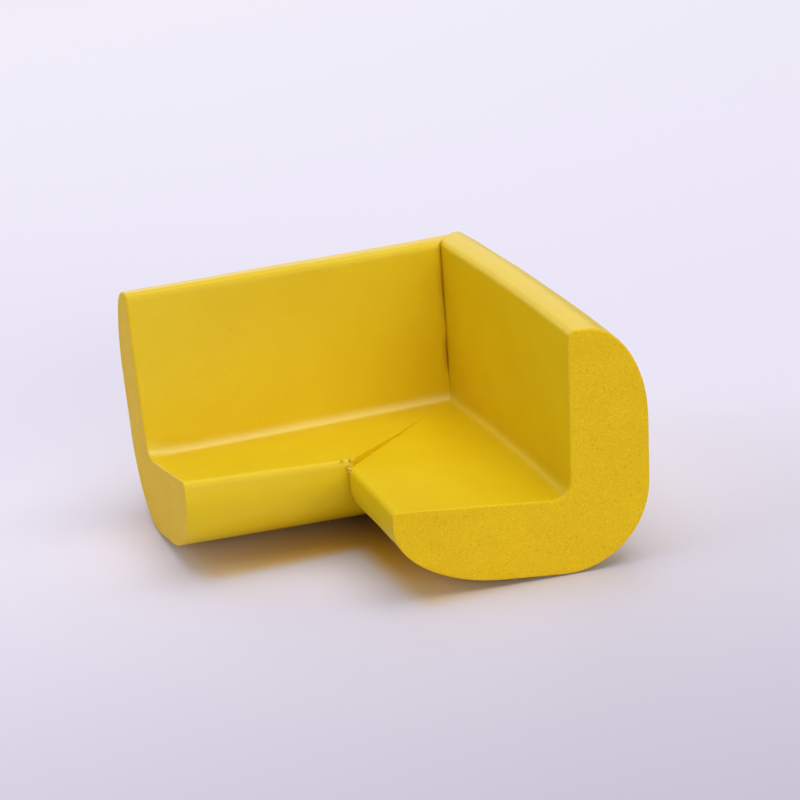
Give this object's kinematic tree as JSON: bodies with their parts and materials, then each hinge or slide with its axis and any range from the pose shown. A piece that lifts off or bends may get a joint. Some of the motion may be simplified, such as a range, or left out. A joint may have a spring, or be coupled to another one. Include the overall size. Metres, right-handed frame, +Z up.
{
  "type": "furniture corner protector",
  "caption": "Soft foam cap for a table corner: two L-section legs glued at a mitre, slightly bowed and twisted, rounded outside, with an upright wall and a flange below.",
  "frame": {"origin": "on the surface the protector rests on, under the middle of its bounding box", "axes": "+Z up; the outer corner points to +X +Y, the right leg runs along -Y and the left leg along -X"},
  "size_m": [0.059, 0.0628, 0.0349],
  "materials": {
    "foam": "matte"
  },
  "bodies": {
    "root": {"left_leg": "foam", "right_leg": "foam"}
  },
  "joints": []
}
